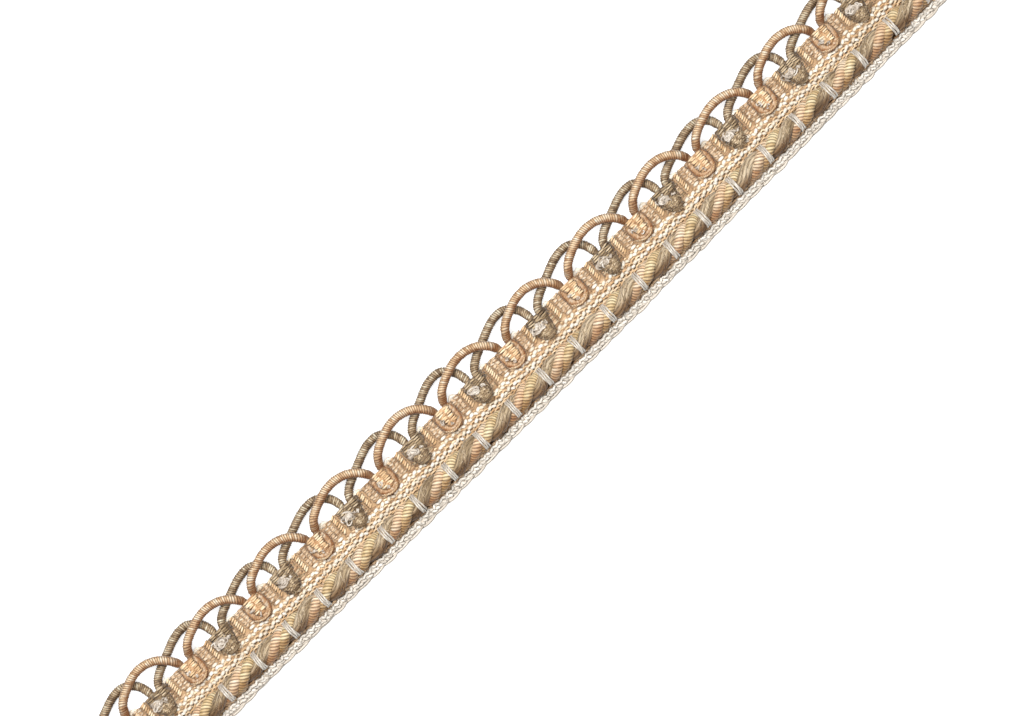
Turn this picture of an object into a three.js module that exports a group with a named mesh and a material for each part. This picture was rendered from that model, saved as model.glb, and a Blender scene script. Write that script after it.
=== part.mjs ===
import * as THREE from "three";

// A looped cord trim for furnishing, a cut length laid flat on its back.
// Millimetres. X runs along the trim, Y across it towards the loops, and Z up from the back.
// The origin is on the back face, half way along, at the middle of the trim's width.

// Driving dimensions
const PITCH = 27.5; // along the trim, from one front loop to the next
const WIDTH = 32; // from the outer edge of the chain to the tops of the loops
const CORD_DIAMETER = 2.8; // the wrapped cord that makes the loops
const SEWN_CORD_DIAMETER = 2.3; // the same cord where a foot is drawn tight to the heading
const ROPE_DIAMETER = 6.9; // the twisted rope below the loops
const GAP = 0.3; // between pieces that lie on each other
const BOW = 1.2; // how far the ends curve towards the loops

// Sizes that follow from these
const CORD_RADIUS = CORD_DIAMETER / 2;
const SEWN_CORD_RADIUS = SEWN_CORD_DIAMETER / 2;
const COLUMN = PITCH / 10; // one rib of the woven tape
const COLUMNS = 135;
const HALF_LENGTH = (COLUMNS * COLUMN) / 2;
const OUTER_EDGE = -WIDTH / 2;

// The woven tape that carries everything
const HEADING_TOP = 6.8; // its edge on the loops' side
const TAPE_LOW = -13; // its edge on the chain's side
const RIB_END = -1.6; // the ribs stop here and flat rows of weave begin
const RIB_TOP = 1.4;
const RIB_GROOVE = 0.35; // how far the grooves between ribs lie below their tops
const RIB_STAGGER = 0.3; // how far the ribs' ends stand out from the heading
const TAPE_LOW_TOP = 1.0;

// The rope and the white stitches that hold it down
const ROPE_Y = -8.85;
const ROPE_BED = RIB_TOP + 0.2; // the rope's underside is pressed flat at this height
const ROPE_Z = ROPE_BED + ROPE_DIAMETER / 2 - 0.35;
const ROPE_LAY = 17.5; // length of one whole turn
const ROPE_PLIES = 3;
const FIRST_PLY_ON_TOP = 8.2; // where the peach ply crosses the top of the rope
const PLY_SHOULDER = 0.86; // the rope's radius beside a ply's crest, as a share of the crest's
const STITCH_PITCH = PITCH / 2;
const STITCH_OFFSET = 2.3;
const STITCHES_EACH_WAY = 13; // to either side of the middle one
const STITCH_WIDTH = 1.9;
const STITCH_INNER = 3.65;
const STITCH_OUTER = 4.1;
const STITCH_PINCH = 0.18; // share of the rope's radius that a stitch takes away
const RINGS_PER_STITCH = 6;

// The chain along the outer edge
const CHAIN_INNER = TAPE_LOW - GAP;
const CHAIN_CREST = 2.2;
const CHAIN_CREST_Y = OUTER_EDGE + 1.4;
const CHAIN_SIDE_Z = 1.1; // height of its outermost edge
const CHAIN_SCALLOP = 0.5; // how far that edge draws in between two links
const CHAIN_BEVEL = 0.5;
const CHAIN_DIP = 0.3; // how far the crest drops between two links

// Heights of the looped cords' centre lines
const FOOT_Z = RIB_TOP + GAP + SEWN_CORD_RADIUS;
const BACK_ARCH_Z = GAP + CORD_RADIUS;
const FRONT_ARCH_Z = BACK_ARCH_Z + CORD_DIAMETER + GAP;
const SETTLED_RISE = 0.5; // share of an arch's rise by which it has reached that height
const FREE_REACH = 1.5; // how far beyond the heading a cord swells to its full size

// The threads that bind each foot to the heading
const BINDING_TOP = 6.6;
const BINDING_LOW = 3.4;
const BINDING_UNDERSIDE = FOOT_Z + SEWN_CORD_RADIUS + GAP;
const BINDING_THICKNESS = 0.55;
const BINDING_EDGE = 0.4; // its thickness beside the middle
const FRONT_BINDING_WIDTH = 4.8;
const FRONT_BINDING_BEVEL = 1.0;
const BACK_BINDING_WALL = 0.45;
const SHOULDER_DROP = 1.05; // where a back binding's sides begin, below its underside
const SHOULDER_INSET = 0.75;

const CORD_SIDES = 6;

// Each kind of loop: one cord that runs through all its feet and arches.
// down gives the leg that comes into a foot, from the heading's edge to the turn, as the distance
// from the foot's middle and the place across the trim. up gives the leg that leaves the foot. arch
// gives the way to the next foot, as shares of the arch's span and of its rise. loops has a row for
// each foot: its number of pitches from the middle, how far it lies off that place, and how high the
// arch that leaves it reaches.
const FRONT = {
  archHeight: FRONT_ARCH_Z,
  down: [
    { side: 1.8, y: HEADING_TOP },
    { side: 2.85, y: 5.0 },
    { side: 3.15, y: 2.6 },
    { side: 2.45, y: 0.5 },
    { side: 1.3, y: -0.4 },
  ],
  turn: -0.65,
  up: [
    { side: 1.3, y: -0.4 },
    { side: 2.45, y: 0.5 },
    { side: 3.15, y: 2.6 },
    { side: 2.95, y: 5.0 },
    { side: 2.1, y: HEADING_TOP },
  ],
  arch: [
    { along: 0.038, rise: 0.26 },
    { along: 0.076, rise: 0.416 },
    { along: 0.165, rise: 0.623 },
    { along: 0.292, rise: 0.805 },
    { along: 0.419, rise: 0.945 },
    { along: 0.547, rise: 1.0 },
    { along: 0.631, rise: 0.99 },
    { along: 0.716, rise: 0.929 },
    { along: 0.801, rise: 0.818 },
    { along: 0.886, rise: 0.623 },
    { along: 0.96, rise: 0.338 },
    { along: 0.99, rise: 0.15 },
  ],
  loops: [
    { pitches: -6, shift: 0, top: 16.5 },
    { pitches: -5, shift: -0.4, top: 15.3 },
    { pitches: -4, shift: -0.4, top: 15.3 },
    { pitches: -3, shift: -0.8, top: 15.6 },
    { pitches: -2, shift: -0.3, top: 15.9 },
    { pitches: -1, shift: -0.2, top: 15.6 },
    { pitches: 0, shift: 0, top: 16.0 },
    { pitches: 1, shift: -0.3, top: 15.8 },
    { pitches: 2, shift: 0.4, top: 15.4 },
    { pitches: 3, shift: 0.2, top: 14.9 },
    { pitches: 4, shift: 0.05, top: 15.2 },
    { pitches: 5, shift: -0.4, top: 15.0 },
    { pitches: 6, shift: 0, top: null },
  ],
};

const BACK = {
  archHeight: BACK_ARCH_Z,
  down: [
    { side: 0.95, y: HEADING_TOP },
    { side: 1.4, y: 5.0 },
    { side: 1.9, y: 3.4 },
    { side: 2.35, y: 1.7 },
    { side: 1.5, y: -0.1 },
  ],
  turn: -0.6,
  up: [
    { side: 1.5, y: -0.1 },
    { side: 2.35, y: 1.7 },
    { side: 2.2, y: 3.4 },
    { side: 2.1, y: 5.0 },
    { side: 2.3, y: HEADING_TOP },
  ],
  arch: [
    { along: 0.027, rise: 0.123 },
    { along: 0.121, rise: 0.36 },
    { along: 0.195, rise: 0.475 },
    { along: 0.278, rise: 0.585 },
    { along: 0.401, rise: 0.735 },
    { along: 0.525, rise: 0.885 },
    { along: 0.648, rise: 0.983 },
    { along: 0.73, rise: 1.0 },
    { along: 0.813, rise: 0.963 },
    { along: 0.874, rise: 0.858 },
    { along: 0.928, rise: 0.704 },
    { along: 0.965, rise: 0.543 },
    { along: 0.995, rise: 0.27 },
  ],
  loops: [
    { pitches: -6.5, shift: -0.4, top: 16.2 },
    { pitches: -5.5, shift: -0.5, top: 16.2 },
    { pitches: -4.5, shift: -0.8, top: 15.3 },
    { pitches: -3.5, shift: -1.9, top: 16.0 },
    { pitches: -2.5, shift: -0.5, top: 16.4 },
    { pitches: -1.5, shift: -0.4, top: 16.8 },
    { pitches: -0.5, shift: -0.85, top: 16.4 },
    { pitches: 0.5, shift: -0.95, top: 16.4 },
    { pitches: 1.5, shift: 0, top: 15.7 },
    { pitches: 2.5, shift: -0.55, top: 14.9 },
    { pitches: 3.5, shift: -0.4, top: 15.4 },
    { pitches: 4.5, shift: -0.6, top: 14.7 },
    { pitches: 5.5, shift: -1.25, top: 14.5 },
    { pitches: 6.5, shift: -0.6, top: null },
  ],
};

// A point of the trim where it lies: the whole length bows a little towards the loops.
function lay(x, y, z) {
  return new THREE.Vector3(x, y + BOW * (x / HALF_LENGTH) ** 2, z);
}

// One closed body through a row of rings, with flat ends. Every ring has as many corners as the
// end outline, and both turn anticlockwise about the direction in which the rings follow each other.
function loft(rings, endOutline) {
  const corners = endOutline.length;
  const faces = [];
  for (let ring = 0; ring < rings.length - 1; ring += 1) {
    for (let corner = 0; corner < corners; corner += 1) {
      const here = ring * corners + corner;
      const beside = ring * corners + ((corner + 1) % corners);
      faces.push(here, beside, beside + corners);
      faces.push(here, beside + corners, here + corners);
    }
  }
  const last = (rings.length - 1) * corners;
  for (const [a, b, c] of THREE.ShapeUtils.triangulateShape(endOutline, [])) {
    faces.push(a, c, b);
    faces.push(last + a, last + b, last + c);
  }
  const positions = rings.flat().flatMap((corner) => corner.toArray());
  const geometry = new THREE.BufferGeometry();
  geometry.setAttribute("position", new THREE.Float32BufferAttribute(positions, 3));
  geometry.setIndex(faces);
  geometry.computeVertexNormals();
  return geometry;
}

// A body along X, from the outline of its section in Y and Z at each place along the trim.
function loftAlong(places, outlineAt) {
  const rings = places.map((x) => outlineAt(x).map(([y, z]) => lay(x, y, z)));
  const endOutline = outlineAt(places[0]).map(([y, z]) => new THREE.Vector2(y, z));
  return loft(rings, endOutline);
}

// Evenly spaced places along the whole trim.
function placesAlong(steps) {
  const places = [];
  for (let step = 0; step <= steps; step += 1) {
    places.push(-HALF_LENGTH + (2 * HALF_LENGTH * step) / steps);
  }
  return places;
}

// The woven tape: a rib and a groove for each column, on a flat back.
function tapeGeometry() {
  const places = placesAlong(2 * COLUMNS);
  return loftAlong(places, (x) => {
    const step = Math.round((x + HALF_LENGTH) / (COLUMN / 2));
    const groove = (step + 1) % 2;
    const top = RIB_TOP - RIB_GROOVE * groove;
    const edge = HEADING_TOP - RIB_STAGGER * groove;
    return [
      [TAPE_LOW, 0],
      [edge, 0],
      [edge, top],
      [RIB_END, top],
      [TAPE_LOW, TAPE_LOW_TOP],
    ];
  });
}

// The chain along the outer edge: one scallop for each link, two columns long.
function chainGeometry() {
  const places = placesAlong(COLUMNS);
  return loftAlong(places, (x) => {
    const step = Math.round((x + HALF_LENGTH) / COLUMN);
    const waist = step % 2;
    return [
      [OUTER_EDGE + CHAIN_BEVEL + CHAIN_SCALLOP * waist, 0],
      [CHAIN_INNER, 0],
      [CHAIN_INNER, CHAIN_CREST - CHAIN_BEVEL],
      [CHAIN_CREST_Y, CHAIN_CREST - CHAIN_DIP * waist],
      [OUTER_EDGE + CHAIN_SCALLOP * waist, CHAIN_SIDE_Z],
    ];
  });
}

// The rope: three plies twisted together, pinched under each stitch and pressed flat below.
function ropeGeometry() {
  const ringStep = STITCH_PITCH / RINGS_PER_STITCH;
  const firstRing = Math.round((-HALF_LENGTH - STITCH_OFFSET) / ringStep);
  const lastRing = Math.round((HALF_LENGTH - STITCH_OFFSET) / ringStep);
  const places = [-HALF_LENGTH];
  for (let ring = firstRing + 1; ring < lastRing; ring += 1) {
    places.push(STITCH_OFFSET + ring * ringStep);
  }
  places.push(HALF_LENGTH);
  return loftAlong(places, (x) => {
    const stitches = (x - STITCH_OFFSET) / STITCH_PITCH;
    const toStitch = Math.abs(stitches - Math.round(stitches)) * STITCH_PITCH;
    const pinch = 1 - STITCH_PINCH * Math.max(0, 1 - toStitch / ringStep);
    const turned = (2 * Math.PI * (x - FIRST_PLY_ON_TOP)) / ROPE_LAY;
    const corners = ROPE_PLIES * 3;
    const outline = [];
    for (let corner = 0; corner < corners; corner += 1) {
      const share = corner % 3 === 0 ? 1 : PLY_SHOULDER;
      const radius = (ROPE_DIAMETER / 2) * share * pinch;
      const angle = turned - (2 * Math.PI * corner) / corners;
      const y = ROPE_Y + radius * Math.sin(angle);
      const z = ROPE_Z + radius * Math.cos(angle);
      outline.push([y, Math.max(z, ROPE_BED)]);
    }
    return outline;
  });
}

// One white stitch: a band that comes up beside the rope, goes over it and down again.
function stitchGeometry(x) {
  const outline = [
    [-STITCH_WIDTH / 2, STITCH_INNER],
    [STITCH_WIDTH / 2, STITCH_INNER],
    [STITCH_WIDTH / 2, STITCH_OUTER],
    [-STITCH_WIDTH / 2, STITCH_OUTER],
  ];
  const arcSteps = 5;
  const stations = [{ angle: Math.PI / 2, z: ROPE_BED }];
  for (let step = 0; step <= arcSteps; step += 1) {
    stations.push({ angle: Math.PI * (0.5 - step / arcSteps), z: ROPE_Z });
  }
  stations.push({ angle: -Math.PI / 2, z: ROPE_BED });
  const rings = stations.map(({ angle, z }) =>
    outline.map(([across, radius]) =>
      lay(x + across, ROPE_Y + radius * Math.sin(angle), z + radius * Math.cos(angle)),
    ),
  );
  return loft(rings, outline.map(([across, radius]) => new THREE.Vector2(across, radius)));
}

// Where the middle of a loop's foot lies along the trim.
function footX(loop) {
  return loop.pitches * PITCH + loop.shift;
}

// A place on a cord's centre line, and how thick the cord is there.
function station(x, y, z) {
  const free = THREE.MathUtils.smoothstep(y, HEADING_TOP, HEADING_TOP + FREE_REACH);
  const radius = THREE.MathUtils.lerp(SEWN_CORD_RADIUS, CORD_RADIUS, free);
  return { centre: lay(x, y, z), radius };
}

// The stations of one kind of looped cord, through all its feet and arches.
function cordLine(kind) {
  const stations = [];
  const arrival = kind.down[0].side;
  const departure = kind.up[kind.up.length - 1].side;
  kind.loops.forEach((loop, index) => {
    const x = footX(loop);
    const down = kind.down.map(({ side, y }) => station(x - side, y, FOOT_Z));
    const up = kind.up.map(({ side, y }) => station(x + side, y, FOOT_Z));
    stations.push(...down, station(x, kind.turn, FOOT_Z), ...up);
    const next = kind.loops[index + 1];
    if (next) {
      const span = footX(next) - x - departure - arrival;
      const peak = loop.top - CORD_RADIUS - HEADING_TOP;
      for (const { along, rise } of kind.arch) {
        const settled = THREE.MathUtils.smoothstep(rise, 0, SETTLED_RISE);
        const z = THREE.MathUtils.lerp(FOOT_Z, kind.archHeight, settled);
        stations.push(station(x + departure + along * span, HEADING_TOP + rise * peak, z));
      }
    }
  });
  return stations;
}

// A looped cord: a ring of corners round each station of its centre line.
function cordGeometry(kind) {
  const line = cordLine(kind);
  const outline = [];
  for (let corner = 0; corner < CORD_SIDES; corner += 1) {
    const angle = (2 * Math.PI * corner) / CORD_SIDES;
    outline.push(new THREE.Vector2(Math.cos(angle), Math.sin(angle)));
  }
  const upright = new THREE.Vector3(0, 0, 1);
  const rings = line.map(({ centre, radius }, index) => {
    const before = line[Math.max(index - 1, 0)].centre;
    const after = line[Math.min(index + 1, line.length - 1)].centre;
    const heading = after.clone().sub(before).normalize();
    const side = upright.clone().cross(heading).normalize();
    const up = heading.clone().cross(side);
    return outline.map(({ x, y }) =>
      centre.clone().addScaledVector(side, x * radius).addScaledVector(up, y * radius),
    );
  });
  return loft(rings, outline);
}

// A band across a foot, from the outline of its section at its two edges.
function bindingGeometry(x, edges) {
  const rings = edges.map(({ y, outline }) => outline.map(([across, z]) => lay(x + across, y, z)));
  return loft(rings, edges[0].outline.map(([across, z]) => new THREE.Vector2(across, z)));
}

// A binding on a front foot: a narrow band across the tops of its two legs.
function frontBindingGeometry(x) {
  const half = FRONT_BINDING_WIDTH / 2;
  const flat = half - FRONT_BINDING_BEVEL;
  const low = BINDING_UNDERSIDE;
  const outline = [
    [-half, low],
    [half, low],
    [half, low + BINDING_EDGE],
    [flat, low + BINDING_THICKNESS],
    [-flat, low + BINDING_THICKNESS],
    [-half, low + BINDING_EDGE],
  ];
  return bindingGeometry(x, [
    { y: BINDING_TOP, outline },
    { y: BINDING_LOW, outline },
  ]);
}

// The section of a back foot's binding, which also closes round the outside of the two legs.
function backBindingOutline(downSide, upSide) {
  const left = -(downSide + SEWN_CORD_RADIUS + GAP);
  const right = upSide + SEWN_CORD_RADIUS + GAP;
  const floor = RIB_TOP + GAP;
  const low = BINDING_UNDERSIDE;
  const shoulder = low - SHOULDER_DROP;
  const outerShoulder = shoulder + BACK_BINDING_WALL / 2;
  return [
    [left - BACK_BINDING_WALL, floor],
    [left, floor],
    [left, shoulder],
    [left + SHOULDER_INSET, low],
    [right - SHOULDER_INSET, low],
    [right, shoulder],
    [right, floor],
    [right + BACK_BINDING_WALL, floor],
    [right + BACK_BINDING_WALL, outerShoulder],
    [right + BACK_BINDING_WALL - SHOULDER_INSET, low + BINDING_EDGE],
    [(left + right) / 2, low + BINDING_THICKNESS],
    [left - BACK_BINDING_WALL + SHOULDER_INSET, low + BINDING_EDGE],
    [left - BACK_BINDING_WALL, outerShoulder],
  ];
}

// A binding on a back foot: its left side leans out downwards, as the leg inside it does.
function backBindingGeometry(x) {
  return bindingGeometry(x, [
    { y: BINDING_TOP, outline: backBindingOutline(1.05, 2.3) },
    { y: BINDING_LOW, outline: backBindingOutline(1.95, 2.25) },
  ]);
}

const trim = new THREE.Group();

// Adds one named piece with a yarn material of its own.
function addPiece(name, geometry, color, roughness) {
  const material = new THREE.MeshStandardMaterial({ color, roughness, metalness: 0 });
  const mesh = new THREE.Mesh(geometry, material);
  mesh.name = name;
  trim.add(mesh);
}

const twoDigits = (number) => String(number).padStart(2, "0");

addPiece("ground_tape", tapeGeometry(), 0xd4b185, 0.8);
addPiece("edge_chain", chainGeometry(), 0xe1d7c9, 0.85);
addPiece("rope", ropeGeometry(), 0xc8ac87, 0.75);
addPiece("back_loops", cordGeometry(BACK), 0xa78f72, 0.75);
addPiece("front_loops", cordGeometry(FRONT), 0xcbac8c, 0.6);

BACK.loops.forEach((loop, index) => {
  addPiece(`back_binding_${twoDigits(index + 1)}`, backBindingGeometry(footX(loop)), 0xb09779, 0.8);
});
FRONT.loops.forEach((loop, index) => {
  addPiece(`front_binding_${twoDigits(index + 1)}`, frontBindingGeometry(footX(loop)), 0xebcb9f, 0.65);
});
for (let place = -STITCHES_EACH_WAY; place <= STITCHES_EACH_WAY; place += 1) {
  const x = STITCH_OFFSET + place * STITCH_PITCH;
  addPiece(`stitch_${twoDigits(place + STITCHES_EACH_WAY + 1)}`, stitchGeometry(x), 0xd8cfc0, 0.7);
}

export default trim;
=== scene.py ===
import math

import bpy
import numpy as np
from mathutils import Matrix, Vector


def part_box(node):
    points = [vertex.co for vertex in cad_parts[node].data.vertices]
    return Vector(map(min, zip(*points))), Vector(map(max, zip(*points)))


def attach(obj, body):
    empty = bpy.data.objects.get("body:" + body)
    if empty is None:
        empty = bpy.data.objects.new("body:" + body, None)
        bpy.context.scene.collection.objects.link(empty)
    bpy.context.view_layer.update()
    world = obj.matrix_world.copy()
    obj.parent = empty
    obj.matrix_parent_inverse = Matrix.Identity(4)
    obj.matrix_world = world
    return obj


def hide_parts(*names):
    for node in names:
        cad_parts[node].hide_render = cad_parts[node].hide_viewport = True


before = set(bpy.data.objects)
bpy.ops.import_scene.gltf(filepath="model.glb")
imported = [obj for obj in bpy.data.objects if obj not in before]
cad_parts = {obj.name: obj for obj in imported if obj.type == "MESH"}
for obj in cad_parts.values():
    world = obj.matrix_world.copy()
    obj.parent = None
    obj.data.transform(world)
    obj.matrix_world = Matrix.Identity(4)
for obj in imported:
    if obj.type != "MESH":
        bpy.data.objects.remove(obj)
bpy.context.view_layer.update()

# Lengths are in millimetres up to the point where a mesh is made. X runs along the trim, Y across
# it towards the loops, Z up from its back.
MM = 0.001
RANDOM = np.random.default_rng(27)

# Sizes of the trim
PITCH = 27.5  # from one front loop to the next
COLUMN = PITCH / 10  # one column of the weave
HALF_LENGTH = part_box("ground_tape")[1].x / MM
BOW = 1.2  # how far the ends curve towards the loops
HEADING_TOP = 6.8
TAPE_LOW = -13.0
RIB_END = -1.6  # the ribs end here and flat rows begin
CLOTH_TOP = 0.9
HEADING_SWELL = 0.5  # how much higher the heading's cloth lies
RIB_RISE = 0.25
RIB_Z = CLOTH_TOP + HEADING_SWELL + RIB_RISE
BACK_BINDING_LEAN = 0.175  # how far a back foot's binding lies to the right of the foot's middle

# The looped cords
CORD_RADIUS = 1.4
SEWN_RADIUS = 1.12  # where a foot is drawn tight to the heading
FREE_REACH = 1.5  # how far beyond the heading a cord swells to its full size
FOOT_Z = 2.4
BACK_ARCH_Z = 1.7
FRONT_ARCH_Z = 4.75
SETTLED_RISE = 0.5  # share of an arch's rise by which it has reached its height
WRAP_PITCH = 0.68  # from one wrapped thread to the next, along the cord
WRAP_DEPTH = 0.22
SEWN_SHADE = 0.4  # how much painted shade a sewn cord shows, where it lies in the weave

# The rope
ROPE_Y = -8.85
ROPE_Z = 4.75
ROPE_BED = 1.35  # the rope's underside is pressed flat at this height
BED_EASE = 0.4  # how softly its sides bend into that flat
ROPE_LAY = 17.5  # length of one whole turn
PLY_ADVANCE = 0.83  # how far a ply runs along the trim for each millimetre of its own length
PEACH_ON_TOP = 8.2  # where each ply crosses the rope's top
GREEN_ON_TOP = 12.6
TAUPE_ON_TOP = 19.6
CREPE_OFFSET = 1.85  # from the rope's axis to a crepe ply's own
CREPE_RADIUS = 1.5
TAUPE_OFFSET = 1.45
TAUPE_RADIUS = 1.98
PINCH_REACH = 1.7  # how far along the rope a stitch narrows it
PINCH_DEPTH = 0.17  # by which share
STITCH_RADIUS = 3.1  # from the rope's axis to a stitch's threads
STITCH_THREADS = (-0.62, 0.0, 0.62)  # where they lie along the trim

# The chain edge
CHAIN_TOP = -12.2
CHAIN_MIDDLE = -14.0
CHAIN_LOW = -15.65

# The two kinds of loop: the leg that comes down into a foot, the one that goes up out of it, the arch
# to the next foot as shares of its span and rise, and how high each arch reaches. They lie as in the
# solids, but a front foot is a little smaller and a back foot narrows more towards its turn.
FRONT = {
    "arch_z": FRONT_ARCH_Z,
    "down": [(1.8, HEADING_TOP), (2.55, 5.0), (2.75, 2.8), (2.3, 0.8), (1.3, -0.1)],
    "turn": -0.35,
    "up": [(1.3, -0.1), (2.3, 0.8), (2.75, 2.8), (2.65, 5.0), (2.1, HEADING_TOP)],
    "arch": [
        (0.038, 0.26), (0.076, 0.416), (0.165, 0.623), (0.292, 0.805), (0.419, 0.945), (0.547, 1.0),
        (0.631, 0.99), (0.716, 0.929), (0.801, 0.818), (0.886, 0.623), (0.96, 0.338), (0.99, 0.15),
    ],
    "tops": [16.5, 15.3, 15.3, 15.6, 15.9, 15.6, 16.0, 15.8, 15.4, 14.9, 15.2, 15.0],
}
BACK = {
    "arch_z": BACK_ARCH_Z,
    "down": [(0.95, HEADING_TOP), (1.4, 5.0), (1.8, 3.4), (1.75, 1.7), (1.0, 0.0)],
    "turn": -0.7,
    "up": [(1.0, 0.0), (1.75, 1.7), (2.0, 3.4), (2.1, 5.0), (2.3, HEADING_TOP)],
    "arch": [
        (0.027, 0.123), (0.121, 0.36), (0.195, 0.475), (0.278, 0.585), (0.401, 0.735),
        (0.525, 0.885), (0.648, 0.983), (0.73, 1.0), (0.813, 0.963), (0.874, 0.858),
        (0.928, 0.704), (0.965, 0.543), (0.995, 0.27),
    ],
    "tops": [16.2, 16.2, 15.3, 16.0, 16.4, 16.8, 16.4, 16.4, 15.7, 14.9, 15.4, 14.7, 14.5],
}


def nodes_named(start):
    """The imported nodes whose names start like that, in order."""
    return sorted(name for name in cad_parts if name.startswith(start))


def middle_x(node):
    """The middle of a node along the trim, in millimetres."""
    low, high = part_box(node)
    return (low.x + high.x) / 2 / MM


FRONT_FEET = [middle_x(node) for node in nodes_named("front_binding_")]
BACK_FEET = [middle_x(node) - BACK_BINDING_LEAN for node in nodes_named("back_binding_")]
STITCHES = [middle_x(node) for node in nodes_named("stitch_")]


# Yarn as swept tubes

TONE_COUNT = 4099  # a prime, so that threads don't repeat their tones in step


class Part:
    """Points, faces and yarn coordinates of some tubes, before they join a piece."""

    def __init__(self, points, quads, caps, yarn, shade):
        self.points = points
        self.quads = quads
        self.caps = caps
        self.yarn = yarn
        self.shade = shade


class Wrap:
    """Threads laid side by side round a core: where each lies, how high it stands, how bright it is.
    stretches is how many lengths of different brightness a thread shows in each of its turns."""

    def __init__(self, pitch, starts, depth, seed, stretches=0):
        self.pitch = pitch
        self.starts = starts
        self.depth = depth
        self.stretches = stretches
        self.tones = np.random.default_rng(seed).random(TONE_COUNT)

    def at(self, along, turn):
        """Height, crest and tone at these places along the core and round it."""
        phase = along / self.pitch + self.starts * turn / (2 * np.pi)
        thread = np.floor(phase).astype(int)
        stretch = np.floor(self.stretches * turn / (2 * np.pi) + 0.37 * thread).astype(int)
        tone = self.tones[(thread * (self.stretches + 1) + stretch) % TONE_COUNT]
        proud = 0.7 + 0.6 * self.tones[(7 * thread + 1) % TONE_COUNT]
        crest = np.abs(np.sin(np.pi * phase))
        height = self.depth * (proud * crest ** 0.8 - 0.6)
        # The crest it returns is the share of the thread's own colour over its grooves' painted shade
        return height, crest ** 1.3, tone


def sweep(lines, radii, sides, tones=0.5, upright=(0, 0, 1), flat=1.0, twist=0.0, wrap=None,
          painted_end_shade=0.0, painted_shade=0.0, painted_side_shade=0.0):
    """Closed tubes along rows of points: lines is (tubes, stations, 3) and radii fits its first two.
    The last three arguments paint shade into the colour, in order: darker towards a tube's ends, where
    it dives under crossing threads; darker at the stations that lie in the weave; and darker on a
    tube's sides, most on the side that faces away from the loops' tops, where a light from the loops'
    side leaves shade."""
    lines = np.asarray(lines, float)
    tubes, stations = lines.shape[:2]
    radii = np.broadcast_to(radii, (tubes, stations))
    heading = np.gradient(lines, axis=1)
    heading /= np.linalg.norm(heading, axis=2, keepdims=True)
    side = np.cross(np.broadcast_to(upright, heading.shape), heading)
    side /= np.linalg.norm(side, axis=2, keepdims=True)
    up = np.cross(heading, side) * flat

    steps = np.linalg.norm(np.diff(lines, axis=1), axis=2)
    along = np.concatenate([np.zeros((tubes, 1)), np.cumsum(steps, axis=1)], axis=1)[:, :, None]
    turn = np.linspace(0, 2 * np.pi, sides, endpoint=False)[None, None, :]
    radius = radii[:, :, None] * np.ones_like(turn)
    ends = np.linspace(-1, 1, stations)[None, :, None] ** 4
    # crest is the share of the yarn's own colour over the painted shade of its grooves; towards the
    # ends it is lowered as painted shade too
    crest = np.ones_like(radius) * (1 - painted_end_shade * ends)
    tone = np.broadcast_to(np.reshape(tones, (-1, 1, 1)), radius.shape)
    if wrap is not None:
        height, crest, tone = wrap.at(along, turn)
        radius = radius + height
    across = radius[..., None] * (
        np.cos(turn)[..., None] * side[:, :, None, :] + np.sin(turn)[..., None] * up[:, :, None, :]
    )
    points = lines[:, :, None, :] + across

    twisted = turn - twist * along
    place = np.broadcast_to(along, twisted.shape)
    yarn = np.stack([np.cos(twisted), np.sin(twisted), place], axis=-1)
    outward = across / radius[..., None]
    # Painted shade on a tube's flanks and on its side away from the loops, added to the painted shade
    # of stations in the weave
    painted_flank_shade = 0.7 * smooth(1.5 - 1.6 * outward[..., 2]) + 0.8 * smooth(0.35 - 1.2 * outward[..., 1])
    painted_shade = np.broadcast_to(painted_shade, (tubes, stations))[:, :, None] + painted_side_shade * painted_flank_shade
    shade = np.stack([tone, crest, painted_shade.clip(0, 1)], axis=-1)

    first = np.arange(tubes)[:, None, None] * stations * sides
    ring = np.arange(stations - 1)[None, :, None] * sides
    corner = np.arange(sides)[None, None, :]
    here = first + ring + corner
    beside = first + ring + (corner + 1) % sides
    quads = np.stack([here, beside, beside + sides, here + sides], axis=-1).reshape(-1, 4)
    starts = first[:, 0, :] + corner[0]
    ends = starts + (stations - 1) * sides
    caps = np.concatenate([starts[:, ::-1], ends])
    return Part(points.reshape(-1, 3), quads, caps, yarn.reshape(-1, 3), shade.reshape(-1, 3))


def lay(points):
    """The points where the trim lies: its whole length bows a little towards the loops."""
    points = np.array(points, float)
    points[..., 1] += BOW * (points[..., 0] / HALF_LENGTH) ** 2
    return points


def mesh_from(name, parts):
    """One mesh from swept parts, in metres, with its yarn coordinates as attributes."""
    corners = []
    sizes = []
    start = 0
    for part in parts:
        for faces in (part.quads, part.caps):
            corners.append((faces + start).ravel())
            sizes.append(np.full(len(faces), faces.shape[1]))
        start += len(part.points)
    corners = np.concatenate(corners)
    sizes = np.concatenate(sizes)
    points = lay(np.concatenate([part.points for part in parts])) * MM
    mesh = bpy.data.meshes.new(name)
    mesh.vertices.add(len(points))
    mesh.vertices.foreach_set("co", points.astype(np.float32).ravel())
    mesh.loops.add(len(corners))
    mesh.loops.foreach_set("vertex_index", corners.astype(np.int32))
    mesh.polygons.add(len(sizes))
    mesh.polygons.foreach_set("loop_start", (np.cumsum(sizes) - sizes).astype(np.int32))
    mesh.update(calc_edges=True)
    mesh.shade_smooth()
    for attribute in ("yarn", "shade"):
        values = np.concatenate([getattr(part, attribute) for part in parts])
        layer = mesh.attributes.new(attribute, "FLOAT_VECTOR", "POINT")
        layer.data.foreach_set("vector", values.astype(np.float32).ravel())
    return mesh


def add_piece(name, parts, material, replaced=()):
    """One named piece from swept parts, which rides on the trim."""
    piece = bpy.data.objects.new(name, mesh_from(name, parts))
    bpy.context.scene.collection.objects.link(piece)
    piece.data.materials.append(material)
    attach(piece, "root")
    if replaced:
        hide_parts(*replaced)
    return piece


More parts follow.
